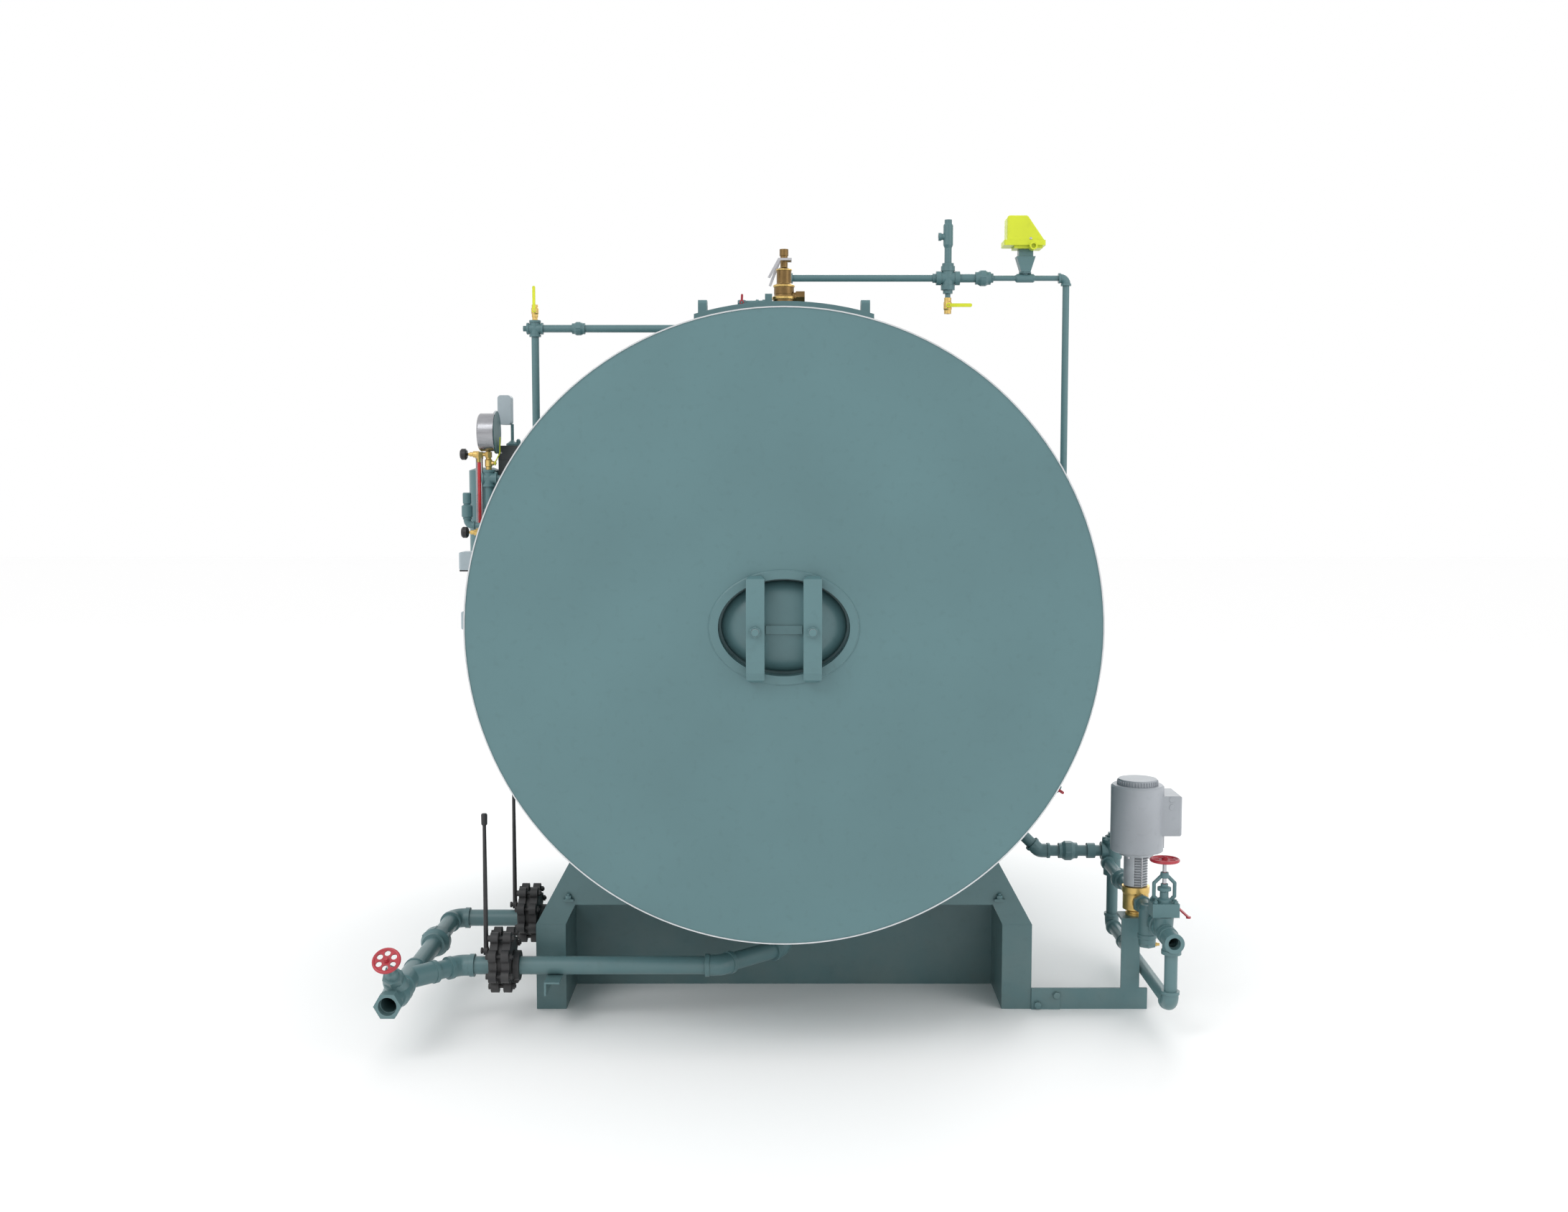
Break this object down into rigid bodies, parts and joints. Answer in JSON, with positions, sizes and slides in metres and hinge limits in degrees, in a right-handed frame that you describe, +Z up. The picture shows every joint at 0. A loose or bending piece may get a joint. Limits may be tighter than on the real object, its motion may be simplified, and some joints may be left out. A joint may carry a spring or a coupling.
{
  "type": "industrial boiler",
  "caption": "Horizontal firetube boiler on a steel skid with manway end, blowdown valves, feed pump, safety valve, water column and steam trim piping.",
  "frame": {"origin": "on the floor, under the middle of the shell, at the underside of the middle crossmember", "axes": "+Y along the shell away from the manway end, +X to the pump side, +Z up"},
  "size_m": [2.6794, 3.097, 2.837],
  "materials": {
    "teal_paint": "satin",
    "edge_trim": "satin",
    "black_iron": "matte",
    "red_paint": "gloss",
    "yellow_grip": "gloss",
    "cover_yellow": "satin",
    "brass": "satin",
    "bronze": "satin",
    "bright_steel": "satin",
    "motor_paint": "satin",
    "cast_grey": "matte",
    "grey_plastic": "matte",
    "black_plastic": "matte",
    "red_glass": "gloss",
    "chrome_case": "polished",
    "dark_paint": "satin"
  },
  "bodies": {
    "boiler": {"base_crossmembers": "teal_paint", "base_rails": "teal_paint", "base_saddles": "teal_paint", "bleed_valves": "brass", "blowdown_drops": "teal_paint", "blowdown_header": "teal_paint", "check_valve": "teal_paint", "control_housing": "dark_paint", "end_far": "teal_paint", "end_near": "teal_paint", "feed_low_line": "teal_paint", "feed_upper": "teal_paint", "gate_valve": "teal_paint", "gauge_glass": "red_glass", "gauge_valves": "brass", "globe_valve": "teal_paint", "inlet_tee": "teal_paint", "jacket": "teal_paint", "jacket_trim": "edge_trim", "lifting_lugs": "teal_paint", "manway_cover": "teal_paint", "manway_ring": "teal_paint", "manway_yokes": "teal_paint", "pipe_bracket": "teal_paint", "pressure_gauge": "chrome_case", "pump_body": "brass", "pump_lantern": "cast_grey", "pump_motor": "motor_paint", "pump_outlet": "teal_paint", "pump_stand": "teal_paint", "quick_valves": "black_iron", "relief_stack": "teal_paint", "safety_valve": "bronze", "side_boxes": "grey_plastic", "side_drain": "teal_paint", "steam_line_left": "teal_paint", "steam_line_right": "teal_paint", "strainer": "teal_paint", "switch_bracket": "teal_paint", "switch_cover": "cover_yellow", "switch_head": "grey_plastic", "switch_stem": "teal_paint", "test_cock": "teal_paint", "top_cover": "teal_paint", "vent_fittings": "teal_paint", "water_column": "teal_paint"},
    "globe_wheel": {"globe_handwheel": "red_paint"},
    "gate_wheel": {"gate_handwheel": "red_paint"},
    "blowdown_lever_near": {"lever_near": "black_iron"},
    "blowdown_lever_far": {"lever_far": "black_iron"},
    "inlet_cock": {"inlet_lever": "red_paint"},
    "drain_cock": {"drain_lever": "red_paint"},
    "vent_cock": {"vent_lever": "red_paint"},
    "bleed_cock_left": {"bleed_lever_left": "yellow_grip"},
    "bleed_cock_right": {"bleed_lever_right": "yellow_grip"},
    "gauge_cock": {"gauge_cock_lever": "yellow_grip"},
    "knob_top": {"knob_upper": "black_plastic"},
    "knob_bottom": {"knob_lower": "black_plastic"},
    "lift_fork": {"lift_lever": "bright_steel"}
  },
  "joints": [
    {"name": "globe_wheel_turn", "type": "hinge", "parent": "boiler", "child": "globe_wheel", "pos_m": [-1.23, -1.52296, 0.33496], "axis": [0, -0.7071, 0.7071], "range_deg": [0, 1440]},
    {"name": "gate_wheel_turn", "type": "hinge", "parent": "boiler", "child": "gate_wheel", "pos_m": [1.25, -1.198, 0.574], "axis": [0, 0, 1], "range_deg": [0, 1800]},
    {"name": "blowdown_lever_near_swing", "type": "hinge", "parent": "boiler", "child": "blowdown_lever_near", "pos_m": [-1.001, -1.097, 0.24], "axis": [1, 0, 0], "range_deg": [0, 70]},
    {"name": "blowdown_lever_far_swing", "type": "hinge", "parent": "boiler", "child": "blowdown_lever_far", "pos_m": [-1.001, -0.511, 0.24], "axis": [1, 0, 0], "range_deg": [0, 70]},
    {"name": "inlet_cock_turn", "type": "hinge", "parent": "boiler", "child": "inlet_cock", "pos_m": [1.25, -1.122, 0.405], "axis": [0, 0, 1], "range_deg": [0, 90]},
    {"name": "drain_cock_turn", "type": "hinge", "parent": "boiler", "child": "drain_cock", "pos_m": [0.88879, -0.95, 0.7916], "axis": [0, -1, 0], "range_deg": [0, 90]},
    {"name": "vent_cock_turn", "type": "hinge", "parent": "boiler", "child": "vent_cock", "pos_m": [-0.142, -0.927, 2.411], "axis": [0, -1, 0], "range_deg": [0, 90]},
    {"name": "bleed_cock_left_turn", "type": "hinge", "parent": "boiler", "child": "bleed_cock_left", "pos_m": [-1.097, 0.755, 2.554], "axis": [0, -1, 0], "range_deg": [0, 90]},
    {"name": "bleed_cock_right_turn", "type": "hinge", "parent": "boiler", "child": "bleed_cock_right", "pos_m": [0.642, -0.03, 2.495], "axis": [0, -1, 0], "range_deg": [-90, 0]},
    {"name": "gauge_cock_turn", "type": "hinge", "parent": "boiler", "child": "gauge_cock", "pos_m": [-1.178, 0.2, 1.882], "axis": [1, 0, 0], "range_deg": [0, 90]},
    {"name": "knob_top_turn", "type": "hinge", "parent": "boiler", "child": "knob_top", "pos_m": [-1.303, 0.2, 1.918], "axis": [1, 0, 0], "range_deg": [0, 720]},
    {"name": "knob_bottom_turn", "type": "hinge", "parent": "boiler", "child": "knob_bottom", "pos_m": [-1.303, 0.2, 1.6], "axis": [1, 0, 0], "range_deg": [0, 720]},
    {"name": "lift_fork_swing", "type": "hinge", "parent": "boiler", "child": "lift_fork", "pos_m": [0.019, -0.88, 2.557], "axis": [0, 1, 0], "range_deg": [0, 25]}
  ]
}
